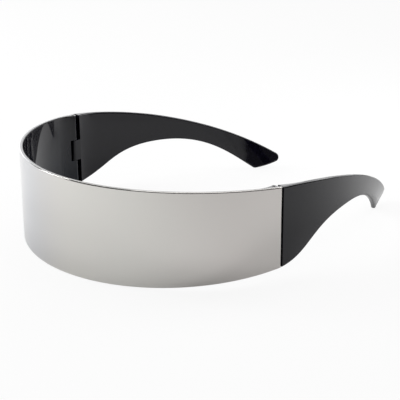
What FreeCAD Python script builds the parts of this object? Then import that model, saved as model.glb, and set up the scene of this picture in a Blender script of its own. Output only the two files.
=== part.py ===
import FreeCAD, Part
import math
import os
from FreeCAD import Vector

# Shield sunglasses: one mirrored lens band, two folding temples, hinge pins and a nose saddle.
# Millimetres. +Z is up, the lens front faces -Y, the temples run back along +Y and the wearer's
# left side is +X. The part stands upright on the lens's bottom edge and the two temple tips.

# Lens band, seen from above an arc of a circle
LENS_RADIUS = 77.0          # outer face
LENS_HALF_ARC = 109.4       # along the outer face, from the middle to the end at the hinge
LENS_WALL = 1.8
LENS_HEIGHT = 43.2          # at the middle of the front
TOP_DROP = 2.0              # the top edge falls by this from the middle to the end
TOP_BOW = 0.6               # and bulges this far out of a straight run, seen from the side
BOTTOM_RISE = 5.35          # the bottom edge rises by this from the middle to the end
BOTTOM_BOW = 0.7
LAND_CUT = 0.2              # taken off the bottom edge at the front, for a flat to stand on
LENS_EDGE_ROUND = 0.4
END_BEVEL = 0.4             # depth of the bevel on the outer corner of the lens's end
END_BEVEL_LENGTH = 0.9

# Hinge, a moulded tongue between two ears on a steel pin
HINGE_WALL = 4.4            # thickness of the lens and of the temple where they meet
KNUCKLE_RADIUS = 1.5
KNUCKLE_SETBACK = 1.2       # from the lens's end to the ears, which its wall passes
TONGUE_HEIGHT = 10.4
SEAM_GAP = 0.4              # between the lens's end and the temple
POCKET_GAP = 0.3            # between the tongue and the pocket's floor
POCKET_END_GAP = 1.0        # and between the tongue's round end and the lens
TONGUE_END_GAP = 0.2        # above and below the tongue
LENS_RAMP = 9.0             # length over which the lens thickens to the hinge
TEMPLE_RAMP = 13.0          # length over which the temple thins behind the hinge
PIN_RADIUS = 0.7
PIN_RUNNING_CLEARANCE = 0.05
PIN_RECESS = 0.5            # from the top edge of the lens down to the pin
PIN_FLOOR = 4.0             # material left under the pin in the lower ear

# Temple, plan shape
TEMPLE_WALL = 2.2
TEMPLE_TURN = 10.7          # degrees, inwards from the lens's end
BEND_RADIUS = 178.0         # front stretch, outer face
BEND_LENGTH = 55.0
TAIL_RADIUS = 260.0         # rear stretch, outer face, along the line about which it twists
TWIST_HEIGHT = 31.0         # that line falls from here, where the tail starts, to the tip's upper corner
TIP_LEAN = 18.0             # degrees at the tip, with its bottom edge inwards

# Temple, side shape: stations run along the chord from the hinge, heights from the ground
TEMPLE_REACH = 117.5        # to the upper corner of the tip
TOP_START_ANGLE = 3.0       # degrees below level, and the lengths of the curve's handles
TOP_START_HANDLE = 25.0
TOP_END_ANGLE = 34.3
TOP_END_HANDLE = 46.7
TIP_TOP = 4.6               # height of the tip's upper corner
TIP_BREADTH = 17.0          # from the upper corner forwards to the lower one
TIP_BULGE = 0.7
TIP_CORNER = 2.5            # rounding of the two corners
HEEL_ANGLE = 6.7            # the bottom edge leaves the lens at this slope
HEEL_HANDLE = 19.0
ARCH_FRONT_HANDLE = 31.1
ARCH_STATION = 49.8         # top of the arch that clears the ear
ARCH_HEIGHT = 20.15
ARCH_REAR_HANDLE = 25.4
TIP_ANGLE = 35.0
TIP_HANDLE = 15.8
TEMPLE_EDGE_ROUND = 0.7     # along the top, the tip and the bottom

# Nose saddle
SADDLE_BOTTOM = 3.0
SADDLE_HEIGHT = 17.0
SADDLE_WALL = 1.6
SADDLE_DEPTH = 15.0         # from the mounting pad back to the ends of the wings
SADDLE_LOW_WIDTH = 24.0     # between the wings' ends, at the bottom
SADDLE_HIGH_WIDTH = 17.0    # and at the top
SADDLE_ARCH_RADIUS = 5.0    # over the ridge of the nose
SADDLE_PAD_WIDTH = 16.0
SADDLE_PAD_THICKNESS = 1.5
SADDLE_CORNER = 4.0         # rounding of the wings' back corners
BOND_GAP = 0.1              # glue line between the pad and the lens

# Room beyond the part for tools that cut right through
MARGIN = 5.0

# Spans of the temple's outline, and the share of it over which its slope is measured at its ends
STRETCH_SPANS = 12
SLOPE_STEP = 0.001

# Worked out from the sizes above
SEAM_ANGLE = LENS_HALF_ARC / LENS_RADIUS
LENS_CENTRE = Vector(0, LENS_RADIUS, 0)
HINGE_TOP = LENS_HEIGHT - TOP_DROP
HINGE_MIDDLE = (HINGE_TOP + BOTTOM_RISE) / 2
PIN_DEPTH = HINGE_WALL - KNUCKLE_RADIUS
PIN_BACK = KNUCKLE_SETBACK + KNUCKLE_RADIUS
SADDLE_FRONT = LENS_WALL + BOND_GAP + SADDLE_PAD_THICKNESS
UP = Vector(0, 0, 1)


def flat(radius, angle):
    """Point of the plan at a radius from the lens's centre, at an angle from the front."""
    return LENS_CENTRE + Vector(radius * math.sin(angle), -radius * math.cos(angle), 0)


def at_hinge(along, depth):
    """Point of the plan near the left hinge: along the lens past its end, and in from its outer face."""
    tangent = Vector(math.cos(SEAM_ANGLE), math.sin(SEAM_ANGLE), 0)
    inwards = Vector(-math.sin(SEAM_ANGLE), math.cos(SEAM_ANGLE), 0)
    return flat(LENS_RADIUS, SEAM_ANGLE) + tangent * along + inwards * depth


PIN_AXIS = at_hinge(-PIN_BACK, PIN_DEPTH)


def line(start, end):
    return Part.LineSegment(start, end).toShape()


def arc(start, through, end):
    return Part.Arc(start, through, end).toShape()


def bezier(*poles):
    curve = Part.BezierCurve()
    curve.setPoles(list(poles))
    return curve.toShape()


def prism(edges, bottom, height):
    """Solid over a closed plan outline."""
    solid = Part.Face(Part.Wire(edges)).extrude(UP * height)
    solid.translate(UP * bottom)
    return solid


def side_prism(edges, half_width):
    """Solid over a closed side outline, which lies in the YZ plane."""
    solid = Part.Face(Part.Wire(edges)).extrude(Vector(2 * half_width, 0, 0))
    solid.translate(Vector(-half_width, 0, 0))
    return solid


def mirrored(shape):
    return shape.mirror(Vector(0, 0, 0), Vector(1, 0, 0))


def cylinder(radius, bottom, top):
    return Part.makeCylinder(radius, top - bottom, PIN_AXIS + UP * bottom, UP)


# Lens

def lens_end_edges():
    """Left end of the lens's plan: the bevelled lip, the round knuckle and the ramp to the thin wall."""
    lip_foot = math.sqrt(KNUCKLE_RADIUS ** 2 - (PIN_DEPTH - LENS_WALL) ** 2) - PIN_BACK
    knuckle_end = at_hinge(-PIN_BACK, HINGE_WALL)
    return [
        line(lens_outer_end(), at_hinge(0, END_BEVEL)),
        line(at_hinge(0, END_BEVEL), at_hinge(0, LENS_WALL)),
        line(at_hinge(0, LENS_WALL), at_hinge(lip_foot, LENS_WALL)),
        arc(at_hinge(lip_foot, LENS_WALL), at_hinge(-KNUCKLE_SETBACK, PIN_DEPTH), knuckle_end),
        bezier(knuckle_end, lens_ramp_pole(), lens_ramp_foot()),
    ]


def lens_outer_end():
    return flat(LENS_RADIUS, SEAM_ANGLE - END_BEVEL_LENGTH / LENS_RADIUS)


def lens_ramp_foot():
    inner = LENS_RADIUS - LENS_WALL
    return flat(inner, SEAM_ANGLE - (PIN_BACK + LENS_RAMP) / inner)


def lens_ramp_pole():
    """Control point that makes the ramp run smoothly into the inner face."""
    foot = lens_ramp_foot()
    outwards = (foot - LENS_CENTRE).normalize()
    tangent = UP.cross(outwards)
    return foot + tangent * (LENS_RAMP / 2)


def lens_plan_edges():
    left_end = lens_end_edges()
    right_end = [mirrored(edge) for edge in left_end]
    end = lens_outer_end()
    foot = lens_ramp_foot()
    outer = arc(Vector(-end.x, end.y, 0), Vector(0, 0, 0), end)
    inner = arc(foot, Vector(0, LENS_WALL, 0), Vector(-foot.x, foot.y, 0))
    return [outer] + left_end + [inner] + right_end[::-1]


def bowed_edge(z_front, z_end, bow):
    """Arc in the side view from the lens's front to its end, with a bulge, which runs on past both."""
    y_end = at_hinge(0, 0).y

    def point(y):
        share = y / y_end
        return Vector(0, y, z_front + (z_end - z_front) * share + 4 * bow * share * (1 - share))

    return arc(point(-MARGIN), point(y_end / 2), point(y_end + MARGIN))


def lens_side_edges():
    top = bowed_edge(LENS_HEIGHT, HINGE_TOP, TOP_BOW)
    bottom = bowed_edge(-LAND_CUT, BOTTOM_RISE, -BOTTOM_BOW)
    top_front, top_back = [vertex.Point for vertex in top.Vertexes]
    bottom_front, bottom_back = [vertex.Point for vertex in bottom.Vertexes]
    return [top, line(top_back, bottom_back), bottom, line(bottom_front, top_front)]


def ground():
    """Everything under the surface that the part stands on."""
    width = 2 * (LENS_RADIUS + MARGIN)
    return Part.makeBox(width, width, MARGIN, Vector(-width / 2, -MARGIN, -MARGIN))


def tongue_pocket():
    """Space for the tongue between the two ears, open to the inside and to the seam."""
    corner = KNUCKLE_RADIUS + POCKET_GAP
    floor = PIN_DEPTH - corner
    end = -PIN_BACK - KNUCKLE_RADIUS - POCKET_END_GAP
    inset = corner * (1 - math.sqrt(0.5))
    points = [
        at_hinge(end, PIN_DEPTH),
        at_hinge(end, HINGE_WALL + MARGIN),
        at_hinge(MARGIN, HINGE_WALL + MARGIN),
        at_hinge(MARGIN, floor),
        at_hinge(end + corner, floor),
    ]
    edges = [line(a, b) for a, b in zip(points, points[1:])]
    edges.append(arc(points[-1], at_hinge(end + inset, floor + inset), points[0]))
    bottom = HINGE_MIDDLE - TONGUE_HEIGHT / 2 - TONGUE_END_GAP
    return prism(edges, bottom, TONGUE_HEIGHT + 2 * TONGUE_END_GAP)


def pin_span():
    return BOTTOM_RISE + PIN_FLOOR, HINGE_TOP - PIN_RECESS


def make_lens():
    y_end = at_hinge(0, 0).y
    band = prism(lens_plan_edges(), -MARGIN, LENS_HEIGHT + 2 * MARGIN)
    band = band.common(side_prism(lens_side_edges(), LENS_RADIUS + MARGIN))
    band = round_edges(band, LENS_EDGE_ROUND, lambda edge: is_rim(edge, y_end))
    pin_bottom = pin_span()[0]
    cuts = [tongue_pocket(), cylinder(PIN_RADIUS, pin_bottom, LENS_HEIGHT + MARGIN)]
    for cut in cuts:
        band = band.cut(cut).cut(mirrored(cut))
    return band.cut(ground())


def is_rim(edge, y_end):
    """Long top and bottom edges of the lens, along its outer face and the thin part of its inner face."""
    box = edge.BoundBox
    return box.XLength > LENS_RADIUS / 2 and box.YLength > y_end / 4


def round_edges(solid, radius, wanted):
    edges = [edge for edge in solid.Edges if wanted(edge)]
    return solid.makeFillet(radius, edges)


# Temple

def arc_point(start, heading, radius, along, depth):
    """Point along an arc that leaves start at a heading and turns left, and in from that arc."""
    end_heading = heading + along / radius
    start_side = Vector(-math.sin(heading), math.cos(heading), 0)
    end_side = Vector(-math.sin(end_heading), math.cos(end_heading), 0)
    return start + start_side * radius - end_side * (radius - depth)


def temple_heading(along):
    """Direction of the temple's front stretch in plan, from +X."""
    return SEAM_ANGLE + math.radians(TEMPLE_TURN) + along / BEND_RADIUS


def lean_shift(along, height):
    """Sideways shift of the tail by its twist, outwards above the line about which it twists."""
    share = max(along - BEND_LENGTH, 0) / (TEMPLE_REACH - BEND_LENGTH)
    line_height = TWIST_HEIGHT + (TIP_TOP - TWIST_HEIGHT) * share
    return math.tan(math.radians(TIP_LEAN)) * share ** 2 * (height - line_height)


def temple_point(along, depth, height):
    """Point of the temple's outline at a height: along its outer face from the seam, and in from that face."""
    start = at_hinge(SEAM_GAP, 0)
    inset = depth - lean_shift(along, height)
    if along <= BEND_LENGTH:
        return arc_point(start, temple_heading(0), BEND_RADIUS, along, inset) + UP * height
    tail_start = arc_point(start, temple_heading(0), BEND_RADIUS, BEND_LENGTH, 0)
    tail_heading = temple_heading(BEND_LENGTH)
    return arc_point(tail_start, tail_heading, TAIL_RADIUS, along - BEND_LENGTH, inset) + UP * height


def temple_stretch(first, last, depth, height):
    """One smooth curve of the temple's outline between two places along it."""
    shares = [i / STRETCH_SPANS for i in range(STRETCH_SPANS + 1)]

    def point(share):
        return temple_point(first + (last - first) * share, depth, height)

    curve = Part.BSplineCurve()
    curve.interpolate(
        Points=[point(share) for share in shares],
        Parameters=shares,
        InitialTangent=point(SLOPE_STEP) - point(0),
        FinalTangent=point(1) - point(1 - SLOPE_STEP),
    )
    return curve.toShape()


def temple_outline(height):
    """Outline of the temple seen from above, which runs on past the tip."""
    end = TEMPLE_REACH + 2 * MARGIN
    foot = temple_point(TEMPLE_RAMP, TEMPLE_WALL, height)
    foot_heading = temple_heading(TEMPLE_RAMP)
    foot_tangent = Vector(math.cos(foot_heading), math.sin(foot_heading), 0)
    thick_end = at_hinge(SEAM_GAP, HINGE_WALL) + UP * height
    return Part.Wire([
        temple_stretch(0, end, 0, height),
        line(temple_point(end, 0, height), temple_point(end, TEMPLE_WALL, height)),
        temple_stretch(end, TEMPLE_RAMP, TEMPLE_WALL, height),
        bezier(foot, foot - foot_tangent * (TEMPLE_RAMP / 2), thick_end),
        line(thick_end, temple_point(0, 0, height)),
    ])


def chord_angle():
    """Direction of the temple's chord in plan, from +X."""
    run = temple_point(TEMPLE_REACH, 0, TIP_TOP) - temple_point(0, 0, TIP_TOP)
    return math.atan2(run.y, run.x)


def handle(point, degrees, length):
    """Point at a length from another, in the side view, at an angle above level."""
    angle = math.radians(degrees)
    return point + Vector(0, math.cos(angle) * length, math.sin(angle) * length)


def temple_side():
    """Side shape of the temple with rounded tip corners, along +Y from the hinge."""
    top_start = Vector(0, 0, HINGE_TOP)
    tip_top = Vector(0, TEMPLE_REACH, TIP_TOP)
    tip_low = Vector(0, TEMPLE_REACH - TIP_BREADTH, 0)
    arch = Vector(0, ARCH_STATION, ARCH_HEIGHT)
    heel = Vector(0, 0, BOTTOM_RISE)
    top_behind = top_start - Vector(0, MARGIN, 0)
    heel_behind = heel - Vector(0, MARGIN, 0)
    tip_middle = (tip_top + tip_low) / 2
    tip_out = Vector(0, TIP_TOP, -TIP_BREADTH).normalize()
    edges = [
        line(top_behind, top_start),
        bezier(
            top_start,
            handle(top_start, -TOP_START_ANGLE, TOP_START_HANDLE),
            handle(tip_top, 180 - TOP_END_ANGLE, TOP_END_HANDLE),
            tip_top,
        ),
        arc(tip_top, tip_middle + tip_out * TIP_BULGE, tip_low),
        bezier(
            tip_low,
            handle(tip_low, 180 - TIP_ANGLE, TIP_HANDLE),
            handle(arch, 0, ARCH_REAR_HANDLE),
            arch,
        ),
        bezier(
            arch,
            handle(arch, 180, ARCH_FRONT_HANDLE),
            handle(heel, HEEL_ANGLE, HEEL_HANDLE),
            heel,
        ),
        line(heel, heel_behind),
        line(heel_behind, top_behind),
    ]
    block = side_prism(edges, TEMPLE_REACH)

    def is_tip_corner(edge):
        point = edge.CenterOfMass
        return any((point - corner).Length < TIP_CORNER for corner in (tip_top, tip_low))

    return round_edges(block, TIP_CORNER, is_tip_corner)


def tongue():
    """Middle knuckle, with its neck into the temple's end."""
    corners = [
        at_hinge(-PIN_BACK, PIN_DEPTH - KNUCKLE_RADIUS),
        at_hinge(SEAM_GAP + KNUCKLE_RADIUS, PIN_DEPTH - KNUCKLE_RADIUS),
        at_hinge(SEAM_GAP + KNUCKLE_RADIUS, PIN_DEPTH),
        at_hinge(SEAM_GAP, HINGE_WALL),
        at_hinge(-PIN_BACK, HINGE_WALL),
    ]
    edges = [line(a, b) for a, b in zip(corners, corners[1:])]
    edges.append(arc(corners[-1], at_hinge(-PIN_BACK - KNUCKLE_RADIUS, PIN_DEPTH), corners[0]))
    return prism(edges, HINGE_MIDDLE - TONGUE_HEIGHT / 2, TONGUE_HEIGHT)


def is_arm_edge(edge):
    """Edges along the arm's top, tip and bottom, apart from those across its thickness or at the seam."""
    along = [(point - at_hinge(SEAM_GAP, 0)).dot(at_hinge(1, 0) - at_hinge(0, 0))
             for point in edge.discretize(3)]
    upright = edge.BoundBox.ZLength > edge.Length - TEMPLE_EDGE_ROUND
    at_seam = max(along) < HINGE_WALL
    return edge.Length > TEMPLE_WALL + TEMPLE_EDGE_ROUND and not upright and not at_seam


def make_left_temple():
    arm = Part.makeLoft([temple_outline(-MARGIN), temple_outline(LENS_HEIGHT + MARGIN)], True, True)
    side = temple_side()
    side.rotate(Vector(0, 0, 0), UP, math.degrees(chord_angle()) - 90)
    side.translate(at_hinge(SEAM_GAP, 0))
    arm = round_edges(arm.common(side), TEMPLE_EDGE_ROUND, is_arm_edge)
    arm = arm.fuse(tongue()).removeSplitter()
    return arm.cut(cylinder(PIN_RADIUS + PIN_RUNNING_CLEARANCE, -MARGIN, LENS_HEIGHT + MARGIN))


# Hinge pin

def make_left_pin():
    bottom, top = pin_span()
    return cylinder(PIN_RADIUS, bottom, top)


# Nose saddle

def saddle_outline(width, height):
    """Closed U in plan, open to the back, with its arch against the mounting pad."""
    back = SADDLE_FRONT + SADDLE_DEPTH
    outer = SADDLE_ARCH_RADIUS + SADDLE_WALL
    shoulder = SADDLE_FRONT + outer
    half = width / 2

    def place(x, y):
        return Vector(x, y, height)

    return Part.Wire([
        arc(place(-outer, shoulder), place(0, SADDLE_FRONT), place(outer, shoulder)),
        line(place(outer, shoulder), place(half + SADDLE_WALL, back)),
        line(place(half + SADDLE_WALL, back), place(half, back)),
        line(place(half, back), place(SADDLE_ARCH_RADIUS, shoulder)),
        arc(place(SADDLE_ARCH_RADIUS, shoulder), place(0, SADDLE_FRONT + SADDLE_WALL),
            place(-SADDLE_ARCH_RADIUS, shoulder)),
        line(place(-SADDLE_ARCH_RADIUS, shoulder), place(-half, back)),
        line(place(-half, back), place(-half - SADDLE_WALL, back)),
        line(place(-half - SADDLE_WALL, back), place(-outer, shoulder)),
    ])


def saddle_pad():
    """Plate that follows the lens's inner face and carries the saddle."""
    outer = LENS_RADIUS - LENS_WALL - BOND_GAP
    inner = outer - SADDLE_PAD_THICKNESS - SADDLE_WALL / 2
    half_angle = SADDLE_PAD_WIDTH / 2 / outer
    edges = [
        arc(flat(outer, -half_angle), flat(outer, 0), flat(outer, half_angle)),
        line(flat(outer, half_angle), flat(inner, half_angle)),
        arc(flat(inner, half_angle), flat(inner, 0), flat(inner, -half_angle)),
        line(flat(inner, -half_angle), flat(outer, -half_angle)),
    ]
    return prism(edges, SADDLE_BOTTOM, SADDLE_HEIGHT)


def saddle_side():
    """Block that rounds the wings' back corners, seen from the side."""
    back = SADDLE_FRONT + SADDLE_DEPTH
    top = SADDLE_BOTTOM + SADDLE_HEIGHT
    inset = SADDLE_CORNER * (1 - math.sqrt(0.5))

    def place(y, z):
        return Vector(0, y, z)

    low_start = place(back - SADDLE_CORNER, SADDLE_BOTTOM)
    low_end = place(back, SADDLE_BOTTOM + SADDLE_CORNER)
    high_start = place(back, top - SADDLE_CORNER)
    high_end = place(back - SADDLE_CORNER, top)
    edges = [
        line(place(0, SADDLE_BOTTOM), low_start),
        arc(low_start, place(back - inset, SADDLE_BOTTOM + inset), low_end),
        line(low_end, high_start),
        arc(high_start, place(back - inset, top - inset), high_end),
        line(high_end, place(0, top)),
        line(place(0, top), place(0, SADDLE_BOTTOM)),
    ]
    return side_prism(edges, SADDLE_LOW_WIDTH)


def make_nose_bridge():
    top = SADDLE_BOTTOM + SADDLE_HEIGHT
    sections = [saddle_outline(SADDLE_LOW_WIDTH, SADDLE_BOTTOM), saddle_outline(SADDLE_HIGH_WIDTH, top)]
    saddle = Part.makeLoft(sections, True, True)
    saddle = saddle.common(saddle_side())
    return saddle.fuse(saddle_pad()).removeSplitter()


def build():
    left_temple = make_left_temple()
    left_pin = make_left_pin()
    nodes = {
        "lens_shield": make_lens(),
        "nose_bridge": make_nose_bridge(),
        "left_temple": left_temple,
        "right_temple": mirrored(left_temple),
        "left_hinge_pin": left_pin,
        "right_hinge_pin": mirrored(left_pin),
    }
    # The origin lies under the middle of the whole part
    whole = Part.makeCompound(list(nodes.values())).optimalBoundingBox(False, False)
    shift = Vector(0, -(whole.YMin + whole.YMax) / 2, 0)
    os.makedirs("parts", exist_ok=True)
    for name, shape in nodes.items():
        solid = shape.Solids[0]
        solid.translate(shift)
        solid.exportStep(os.path.join("parts", name + ".step"))
        print(name, len(shape.Solids), solid.isValid(), round(solid.Volume, 2))
    axis = PIN_AXIS + shift
    print("pin axis", axis.x, axis.y, "shift", shift.y)
    print("box", whole.XLength, whole.YLength, whole.ZLength)


build()
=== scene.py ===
import math

import bpy
from mathutils import Matrix, Vector


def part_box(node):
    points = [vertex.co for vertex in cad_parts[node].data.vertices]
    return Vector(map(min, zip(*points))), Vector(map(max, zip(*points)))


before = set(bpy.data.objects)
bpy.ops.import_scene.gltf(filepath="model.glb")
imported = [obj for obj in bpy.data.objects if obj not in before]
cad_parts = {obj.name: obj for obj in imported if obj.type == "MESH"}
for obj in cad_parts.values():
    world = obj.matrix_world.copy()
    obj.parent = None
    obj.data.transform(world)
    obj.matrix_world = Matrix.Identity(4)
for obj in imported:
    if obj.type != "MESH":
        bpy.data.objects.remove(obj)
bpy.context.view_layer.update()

# Camera at the photograph's viewing angle, in degrees and metres
CAMERA_AZIMUTH = 49.64
CAMERA_ELEVATION = 19.65
CAMERA_ROLL = -0.30
CAMERA_DISTANCE = 0.48429
CAMERA_TARGET = Vector((0.04522, -0.04023, 0.03174))
CAMERA_NEAREST = 0.01
FOCAL_PIXELS = 1143.0         # focal length in pixels of the photograph
IMAGE_PIXELS = 400
SENSOR_WIDTH = 36.0           # millimetres

# Lens and its mirror coat, in metres
LENS_RADIUS = 0.0770
COAT_DEPTH = 0.00045          # the coat wraps round the outer edges, this far in from the outer face
RIM_DEPTH = 0.0013            # and thins out over the flat of the rims, which ends here
RIM_COAT = 0.35               # share of the coat that is left there
COAT_FADE = 0.0001            # width over which each stretch of the coat ends

# Angles round the lens, in radians from the front towards the wearer's left
COOL_ANGLE = -0.3             # up to here the coat's tint is cool
WARM_ANGLE = 0.2              # and from here on it is warm
PAINTED_BRIGHT_ANGLE = 0.38            # where the coat is painted brightest, a painted reflection of the lit floor
PAINTED_BRIGHT_CORE = 0.1              # it is that bright up to this far from there
PAINTED_BRIGHT_REACH = 0.8             # and fades out by here
BAND_HEIGHT_SHARE = 4.0       # what a metre of height counts beside a radian in the bands of tint

# Colours, in pairs that a material mixes
SILVER = (0.63, 0.645, 0.665, 1), (0.66, 0.655, 0.665, 1)
ROSE = (0.635, 0.612, 0.587, 1), (0.655, 0.622, 0.602, 1)
# Champagne is the brightest of the coat's colours and carries the painted reflection of the lit floor
CHAMPAGNE = (0.705, 0.70, 0.668, 1), (0.725, 0.708, 0.674, 1)
# The smoke's first colour, used low down, is painted light: lighter and more teal, for floor light seen
# through the lens
SMOKE = (0.010, 0.015, 0.023, 1), (0.0078, 0.0073, 0.0120, 1)
BLACK = (0.0036, 0.0031, 0.0070, 1), (0.0052, 0.0046, 0.0094, 1)
STEEL = (0.55, 0.55, 0.55, 1), (0.68, 0.68, 0.68, 1)
CHARCOAL = (0.016, 0.016, 0.016, 1), (0.022, 0.022, 0.022, 1)

# Roughness of the surfaces, in pairs as well
COAT_ROUGHNESS = 0.03, 0.06
SMOKE_ROUGHNESS = 0.05
BLACK_ROUGHNESS = 0.03, 0.06
STEEL_ROUGHNESS = 0.25, 0.4
CHARCOAL_ROUGHNESS = 0.3, 0.4
PLASTIC_IOR = 1.43

# Stage
WHITE = (1, 1, 1, 1)
PAPER = (0.85, 0.85, 0.85, 1)
DIM_ROOM = (0.10, 0.10, 0.10, 1)
FLOOR_HALF_WIDTH = 3.0
FLOOR_DROP = 0.0002           # keeps the floor clear of the faces that stand on it
FLOOR_WHITE_SEEN = 0.90       # share of plain white in the floor that the camera sees
FLOOR_WHITE_MIRRORED = 0.15   # and in the floor that gloss and glass show
BACKDROP_AZIMUTH = 230
BACKDROP_SIDES = 0.2, 0.6     # cosine of the angle from its middle, where it starts and where it is full
BACKDROP_TOP = 0.45, 0.30     # sine of the elevation, where it starts from above and where it is full
LIGHT_TARGET = Vector((0, 0, 0.02))

# A Mix node lists the sockets of all its data types. These are the places of the ones used here.
MIX_VALUES = 2, 3
MIX_COLOURS = 6, 7
MIXED_VALUE = 0
MIXED_COLOUR = 2


# Node helpers

def new_material(name):
    material = bpy.data.materials.new(name)
    material.use_nodes = True
    return material, material.node_tree, material.node_tree.nodes["Principled BSDF"]


def add(tree, kind, **settings):
    item = tree.nodes.new(kind)
    for name, value in settings.items():
        setattr(item, name, value)
    return item


def feed(tree, socket, value):
    """Links a socket's source, or sets its constant."""
    if isinstance(value, bpy.types.NodeSocket):
        tree.links.new(value, socket)
    else:
        socket.default_value = value


def calc(tree, operation, *values):
    item = add(tree, "ShaderNodeMath", operation=operation)
    for socket, value in zip(item.inputs, values):
        feed(tree, socket, value)
    return item.outputs[0]


def split(tree, vector):
    """The X, Y and Z sockets of a vector, by name."""
    item = add(tree, "ShaderNodeSeparateXYZ")
    feed(tree, item.inputs[0], vector)
    return item.outputs


def smooth(tree, value, start, end):
    """0 before start, 1 after end, with a soft step between. The start may be the larger of the two."""
    item = add(tree, "ShaderNodeMapRange", interpolation_type="SMOOTHSTEP")
    feed(tree, item.inputs["Value"], value)
    item.inputs["From Min"].default_value = start
    item.inputs["From Max"].default_value = end
    return item.outputs["Result"]


def mix(tree, data_type, share, values, places, result):
    item = add(tree, "ShaderNodeMix", data_type=data_type)
    feed(tree, item.inputs["Factor"], share)
    for place, value in zip(places, values):
        feed(tree, item.inputs[place], value)
    return item.outputs[result]


def mix_colour(tree, share, first, second):
    return mix(tree, "RGBA", share, (first, second), MIX_COLOURS, MIXED_COLOUR)


def mix_value(tree, share, first, second):
    return mix(tree, "FLOAT", share, (first, second), MIX_VALUES, MIXED_VALUE)


def object_place(tree):
    return add(tree, "ShaderNodeTexCoord").outputs["Object"]


def noise(tree, vector, scale, detail, roughness=0.5):
    item = add(tree, "ShaderNodeTexNoise")
    feed(tree, item.inputs["Vector"], vector)
    item.inputs["Scale"].default_value = scale
    item.inputs["Detail"].default_value = detail
    item.inputs["Roughness"].default_value = roughness
    return item.outputs["Fac"]


def mottle(tree, shader, scale, detail, colours, roughness):
    """Lets a surface's colour and roughness vary together, in grains that get finer with the scale."""
    grain = noise(tree, object_place(tree), scale, detail)
    feed(tree, shader.inputs["Base Color"], mix_colour(tree, grain, *colours))
    feed(tree, shader.inputs["Roughness"], mix_value(tree, grain, *roughness))


# Materials

def mirror_tint(tree, angle, height):
    """Tint of the coat: faint upright bands, cool at the wearer's right and warm at the left, with a
    brighter champagne stretch that is a painted reflection of the lit floor.
    """
    around = add(tree, "ShaderNodeCombineXYZ")
    feed(tree, around.inputs["X"], angle)
    feed(tree, around.inputs["Z"], calc(tree, "MULTIPLY", height, BAND_HEIGHT_SHARE))
    band = noise(tree, around.outputs[0], scale=5.0, detail=3.0, roughness=0.6)
    silver, rose, champagne = [mix_colour(tree, band, *pair) for pair in (SILVER, ROSE, CHAMPAGNE)]
    # Painted reflection: round this angle the coat turns to the brighter champagne, for the lit floor that
    # the mirror shows there
    off_painted_bright = calc(tree, "ABSOLUTE", calc(tree, "SUBTRACT", angle, PAINTED_BRIGHT_ANGLE))
    painted_bright = smooth(tree, off_painted_bright, PAINTED_BRIGHT_REACH, PAINTED_BRIGHT_CORE)
    warm = smooth(tree, angle, COOL_ANGLE, WARM_ANGLE)
    return mix_colour(tree, warm, silver, mix_colour(tree, painted_bright, rose, champagne))


def lens_material():
    """Mirror coat on the outer face, thinner on the rims, and bare dark smoke inside."""
    material, tree, shader = new_material("mirror_lens")
    place = object_place(tree)
    axes = split(tree, place)
    low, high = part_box("lens_shield")
    back = calc(tree, "SUBTRACT", axes["Y"], low.y + LENS_RADIUS)
    squares = calc(tree, "ADD", calc(tree, "POWER", axes["X"], 2.0), calc(tree, "POWER", back, 2.0))
    depth = calc(tree, "SUBTRACT", LENS_RADIUS, calc(tree, "SQRT", squares))
    angle = calc(tree, "ARCTAN2", axes["X"], calc(tree, "MULTIPLY", back, -1.0))

    outside = smooth(tree, depth, COAT_DEPTH + COAT_FADE, COAT_DEPTH)
    on_rim = smooth(tree, depth, RIM_DEPTH + COAT_FADE, RIM_DEPTH)
    coat = calc(tree, "MAXIMUM", outside, calc(tree, "MULTIPLY", on_rim, RIM_COAT))
    haze = mix_value(tree, noise(tree, place, scale=60.0, detail=3.0), *COAT_ROUGHNESS)

    # The smoke is painted a little lighter and more teal low down: painted light, for floor light seen
    # through it
    smoke = mix_colour(tree, smooth(tree, axes["Z"], low.z, high.z), *SMOKE)
    mirror = mirror_tint(tree, angle, axes["Z"])
    feed(tree, shader.inputs["Base Color"], mix_colour(tree, coat, smoke, mirror))
    feed(tree, shader.inputs["Metallic"], coat)
    feed(tree, shader.inputs["Roughness"], mix_value(tree, coat, SMOKE_ROUGHNESS, haze))
    shader.inputs["IOR"].default_value = PLASTIC_IOR
    return material


def temple_material():
    """Black moulded plastic with a gloss skin."""
    material, tree, shader = new_material("black_temple")
    mottle(tree, shader, scale=90.0, detail=3.0, colours=BLACK, roughness=BLACK_ROUGHNESS)
    shader.inputs["IOR"].default_value = PLASTIC_IOR
    return material


def pin_material():
    """Drawn steel wire."""
    material, tree, shader = new_material("steel_pin")
    mottle(tree, shader, scale=4000.0, detail=2.0, colours=STEEL, roughness=STEEL_ROUGHNESS)
    shader.inputs["Metallic"].default_value = 1.0
    return material


def saddle_material():
    """Dark satin plastic."""
    material, tree, shader = new_material("nose_saddle")
    mottle(tree, shader, scale=300.0, detail=4.0, colours=CHARCOAL, roughness=CHARCOAL_ROUGHNESS)
    return material


def dress(material, *nodes):
    for name in nodes:
        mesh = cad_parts[name].data
        mesh.materials.clear()
        mesh.materials.append(material)


# Stage and light

def direction(azimuth, elevation):
    """Unit vector towards a place round the object: azimuth 0 is in front, 90 on the wearer's left."""
    turn = math.radians(azimuth)
    rise = math.radians(elevation)
    return Vector((math.sin(turn) * math.cos(rise), -math.cos(turn) * math.cos(rise), math.sin(rise)))


def aim(position, target, roll=0.0):
    """Matrix that looks from a position at a target, level unless rolled."""
    back = (position - target).normalized()
    right = Vector((0, 0, 1)).cross(back).normalized()
    up = back.cross(right)
    turn = math.radians(roll)
    across = right * math.cos(turn) + up * math.sin(turn)
    upwards = up * math.cos(turn) - right * math.sin(turn)
    matrix = Matrix((across, upwards, back)).transposed().to_4x4()
    matrix.translation = position
    return matrix


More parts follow.
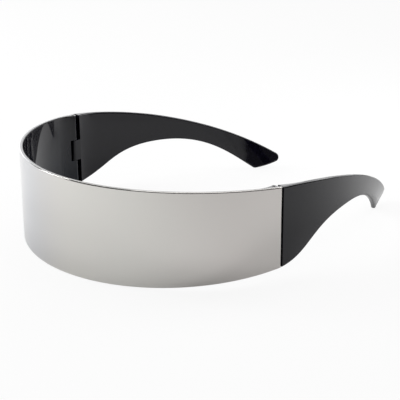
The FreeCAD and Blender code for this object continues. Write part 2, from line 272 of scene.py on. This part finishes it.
def make_floor():
    """White paper. Light falls on it as on any paper, and its background white joins in where it is seen."""
    bpy.ops.mesh.primitive_plane_add(size=2 * FLOOR_HALF_WIDTH, location=(0, 0, -FLOOR_DROP))
    floor = bpy.context.object
    floor.name = "floor"
    material = bpy.data.materials.new("floor_white")
    material.use_nodes = True
    tree = material.node_tree
    tree.nodes.clear()
    paper = add(tree, "ShaderNodeBsdfDiffuse")
    paper.inputs["Color"].default_value = PAPER
    white = add(tree, "ShaderNodeEmission")
    white.inputs["Color"].default_value = WHITE
    white.inputs["Strength"].default_value = 1.0
    path = add(tree, "ShaderNodeLightPath")
    mirrored = calc(tree, "MAXIMUM", path.outputs["Is Glossy Ray"], path.outputs["Is Transmission Ray"])
    share = calc(tree, "ADD", calc(tree, "MULTIPLY", path.outputs["Is Camera Ray"], FLOOR_WHITE_SEEN),
                 calc(tree, "MULTIPLY", mirrored, FLOOR_WHITE_MIRRORED))
    surface = add(tree, "ShaderNodeMixShader")
    for socket, source in zip(surface.inputs, (share, paper.outputs[0], white.outputs[0])):
        tree.links.new(source, socket)
    output = add(tree, "ShaderNodeOutputMaterial")
    tree.links.new(surface.outputs[0], output.inputs[0])
    floor.data.materials.append(material)


def make_world():
    """A white backdrop behind the object, in a dim room. The camera sees plain white all round."""
    world = bpy.data.worlds.new("studio")
    bpy.context.scene.world = world
    world.use_nodes = True
    tree = world.node_tree
    sky = tree.nodes["Background"]
    ray = add(tree, "ShaderNodeTexCoord").outputs["Generated"]
    behind = add(tree, "ShaderNodeVectorMath", operation="DOT_PRODUCT")
    feed(tree, behind.inputs[0], ray)
    behind.inputs[1].default_value = direction(BACKDROP_AZIMUTH, 0)
    below_top = smooth(tree, split(tree, ray)["Z"], *BACKDROP_TOP)
    backdrop = calc(tree, "MULTIPLY", below_top, smooth(tree, behind.outputs["Value"], *BACKDROP_SIDES))
    seen = add(tree, "ShaderNodeLightPath").outputs["Is Camera Ray"]
    feed(tree, sky.inputs["Color"], mix_colour(tree, calc(tree, "MAXIMUM", backdrop, seen), DIM_ROOM, WHITE))
    sky.inputs["Strength"].default_value = 1.0


def add_softbox(name, azimuth, elevation, distance, width, height, power, mirrored=True):
    """Soft lamp that faces the object. One that isn't mirrored gives light, but doesn't show in gloss."""
    data = bpy.data.lights.new(name, "AREA")
    data.shape = "RECTANGLE"
    data.size = width
    data.size_y = height
    data.energy = power
    box = bpy.data.objects.new(name, data)
    bpy.context.scene.collection.objects.link(box)
    box.matrix_world = aim(direction(azimuth, elevation) * distance, LIGHT_TARGET)
    box.visible_camera = False
    box.visible_glossy = mirrored


def make_lights():
    """Degrees, metres and watts. The narrow edge light makes the glint on the lens's top rim."""
    add_softbox("back_light", azimuth=230, elevation=20, distance=1.4, width=2.4, height=0.6, power=3.6)
    add_softbox("key_light", azimuth=-50, elevation=33, distance=0.85, width=1.1, height=0.5, power=6.3,
                mirrored=False)
    add_softbox("edge_light", azimuth=-57, elevation=33, distance=0.85, width=0.14, height=0.4, power=1.6)
    add_softbox("top_light", azimuth=215, elevation=66, distance=1.2, width=0.8, height=0.8, power=3.4)
    add_softbox("rear_light", azimuth=170, elevation=40, distance=0.35, width=0.2, height=0.2, power=0.5)


def make_camera():
    data = bpy.data.cameras.new("camera")
    data.sensor_width = SENSOR_WIDTH
    data.lens = FOCAL_PIXELS * SENSOR_WIDTH / IMAGE_PIXELS
    data.clip_start = CAMERA_NEAREST
    camera = bpy.data.objects.new("camera", data)
    bpy.context.scene.collection.objects.link(camera)
    position = CAMERA_TARGET + direction(CAMERA_AZIMUTH, CAMERA_ELEVATION) * CAMERA_DISTANCE
    camera.matrix_world = aim(position, CAMERA_TARGET, CAMERA_ROLL)
    bpy.context.scene.camera = camera


dress(lens_material(), "lens_shield")
dress(temple_material(), "left_temple", "right_temple")
dress(pin_material(), "left_hinge_pin", "right_hinge_pin")
dress(saddle_material(), "nose_bridge")
make_floor()
make_world()
make_lights()
make_camera()
bpy.context.scene.view_settings.view_transform = "Standard"
